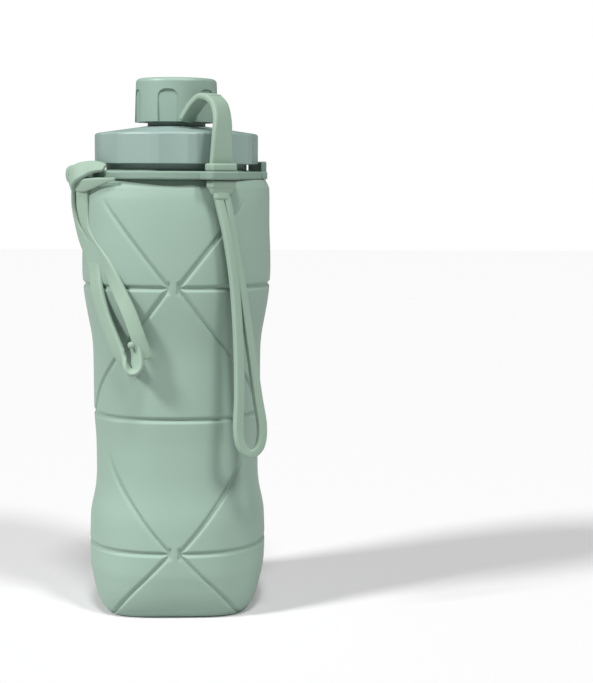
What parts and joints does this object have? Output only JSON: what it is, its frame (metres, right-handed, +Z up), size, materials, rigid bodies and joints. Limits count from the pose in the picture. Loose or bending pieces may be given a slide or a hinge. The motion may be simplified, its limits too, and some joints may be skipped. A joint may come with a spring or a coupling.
{
  "type": "folding water bottle",
  "caption": "Soft upright bottle that folds flat like a bellows, with a scalloped screw lid, a small drinking cap on a tether, a long wrist loop and a finger strap.",
  "frame": {"origin": "centre of the base, on the surface the bottle stands on", "axes": "+Z up the bottle; the front faces -Y; the fold's side lips open towards -X and +X"},
  "size_m": [0.0909, 0.0905, 0.235],
  "materials": {
    "body_silicone": "matt moulded silicone, sage green",
    "trim_silicone": "matt moulded silicone, light sage",
    "seal_silicone": "translucent silicone seal",
    "lid_plastic": "satin moulded polypropylene, grey sage",
    "cap_plastic": "satin moulded polypropylene, sage",
    "neck_plastic": "satin moulded polypropylene, sage"
  },
  "bodies": {
    "base": {"base_cup": "body_silicone"},
    "waist": {"waist_band": "body_silicone"},
    "neck": {"shoulder": "body_silicone", "neck_insert": "neck_plastic", "strap_ring": "trim_silicone", "tether_stoppers": "trim_silicone", "strap_hitch": "trim_silicone"},
    "lid_lift": {"lid_gasket": "seal_silicone"},
    "lid": {"lid": "lid_plastic"},
    "cap_lift": {"cap_seal": "seal_silicone"},
    "cap": {"cap": "cap_plastic"},
    "tether_middle": {"tether_arch": "trim_silicone"},
    "tether_tip": {"tether_end": "trim_silicone"},
    "carry_loop": {"carry_loop": "trim_silicone"},
    "finger_strap": {"finger_strap": "trim_silicone"},
    "base_gusset_left": {"base_gusset_left": "body_silicone"},
    "lower_gusset_left": {"lower_gusset_left": "body_silicone"},
    "upper_gusset_left": {"upper_gusset_left": "body_silicone"},
    "shoulder_gusset_left": {"shoulder_gusset_left": "body_silicone"},
    "base_gusset_right": {"base_gusset_right": "body_silicone"},
    "lower_gusset_right": {"lower_gusset_right": "body_silicone"},
    "upper_gusset_right": {"upper_gusset_right": "body_silicone"},
    "shoulder_gusset_right": {"shoulder_gusset_right": "body_silicone"}
  },
  "joints": [
    {"name": "fold", "type": "slide", "parent": "base", "child": "neck", "axis": [0, 0, -1], "range_m": [0, 0.15], "deforming": ["base_gusset_left", "base_gusset_right", "lower_gusset_left", "lower_gusset_right", "waist_band", "upper_gusset_left", "upper_gusset_right", "shoulder_gusset_left", "shoulder_gusset_right", "carry_loop", "finger_strap"]},
    {"name": "waist_drop", "type": "slide", "parent": "base", "child": "waist", "axis": [0, 0, -1], "range_m": [0, 0.0695]},
    {"name": "base_gusset_left_out", "type": "slide", "parent": "base", "child": "base_gusset_left", "axis": [-0.7483, 0, -0.6633], "range_m": [0, 0.0295]},
    {"name": "lower_gusset_left_out", "type": "slide", "parent": "waist", "child": "lower_gusset_left", "axis": [-0.4027, 0, 0.9153], "range_m": [0, 0.05473]},
    {"name": "upper_gusset_left_out", "type": "slide", "parent": "waist", "child": "upper_gusset_left", "axis": [-0.4353, 0, -0.9003], "range_m": [0, 0.05064]},
    {"name": "shoulder_gusset_left_out", "type": "slide", "parent": "neck", "child": "shoulder_gusset_left", "axis": [-0.5322, 0, 0.8466], "range_m": [0, 0.04144]},
    {"name": "base_gusset_right_out", "type": "slide", "parent": "base", "child": "base_gusset_right", "axis": [0.7483, 0, -0.6633], "range_m": [0, 0.0295]},
    {"name": "lower_gusset_right_out", "type": "slide", "parent": "waist", "child": "lower_gusset_right", "axis": [0.4027, 0, 0.9153], "range_m": [0, 0.05473]},
    {"name": "upper_gusset_right_out", "type": "slide", "parent": "waist", "child": "upper_gusset_right", "axis": [0.4353, 0, -0.9003], "range_m": [0, 0.05064]},
    {"name": "shoulder_gusset_right_out", "type": "slide", "parent": "neck", "child": "shoulder_gusset_right", "axis": [0.5322, 0, 0.8466], "range_m": [0, 0.04144]},
    {"name": "lid_rise", "type": "slide", "parent": "neck", "child": "lid_lift", "axis": [0, 0, 1], "range_m": [0, 0.00901]},
    {"name": "lid_turn", "type": "hinge", "parent": "lid_lift", "child": "lid", "pos_m": [0, 0, 0.2], "axis": [0, 0, 1], "range_deg": [0, 720], "deforming": ["tether_arch"]},
    {"name": "cap_rise", "type": "slide", "parent": "lid", "child": "cap_lift", "axis": [0, 0, 1], "range_m": [0, 0.00701]},
    {"name": "cap_turn", "type": "hinge", "parent": "cap_lift", "child": "cap", "pos_m": [0, 0, 0.22], "axis": [0, 0, 1], "range_deg": [0, 720], "deforming": ["tether_end"]},
    {"name": "tether_lift", "type": "slide", "parent": "neck", "child": "tether_middle", "axis": [0, 0, 1], "range_m": [0, 0.00901]},
    {"name": "tether_reach", "type": "slide", "parent": "tether_middle", "child": "tether_tip", "axis": [0, 0, 1], "range_m": [0, 0.00701]},
    {"name": "carry_loop_swing", "type": "hinge", "parent": "neck", "child": "carry_loop", "pos_m": [0.02042, -0.03761, 0.1864], "axis": [-0.8788, -0.4772, 0], "range_deg": [0, 95]},
    {"name": "finger_strap_swing", "type": "hinge", "parent": "neck", "child": "finger_strap", "pos_m": [-0.04648, -0.0082, 0.1846], "axis": [-0.1736, 0.9848, 0], "range_deg": [0, 95]}
  ],
  "couplings": [
    {"joint": "waist_drop", "follows": "fold", "ratio": 0.46333},
    {"joint": "base_gusset_left_out", "follows": "fold", "ratio": 0.19599},
    {"joint": "lower_gusset_left_out", "follows": "fold", "ratio": 0.36417},
    {"joint": "upper_gusset_left_out", "follows": "fold", "ratio": 0.33693},
    {"joint": "shoulder_gusset_left_out", "follows": "fold", "ratio": 0.2756},
    {"joint": "base_gusset_right_out", "follows": "fold", "ratio": 0.19599},
    {"joint": "lower_gusset_right_out", "follows": "fold", "ratio": 0.36417},
    {"joint": "upper_gusset_right_out", "follows": "fold", "ratio": 0.33693},
    {"joint": "shoulder_gusset_right_out", "follows": "fold", "ratio": 0.2756},
    {"joint": "lid_rise", "follows": "lid_turn", "m_per_rad": 0.0007162},
    {"joint": "cap_rise", "follows": "cap_turn", "m_per_rad": 0.00055704},
    {"joint": "tether_lift", "follows": "lid_turn", "m_per_rad": 0.0007162},
    {"joint": "tether_reach", "follows": "cap_turn", "m_per_rad": 0.00055704}
  ]
}
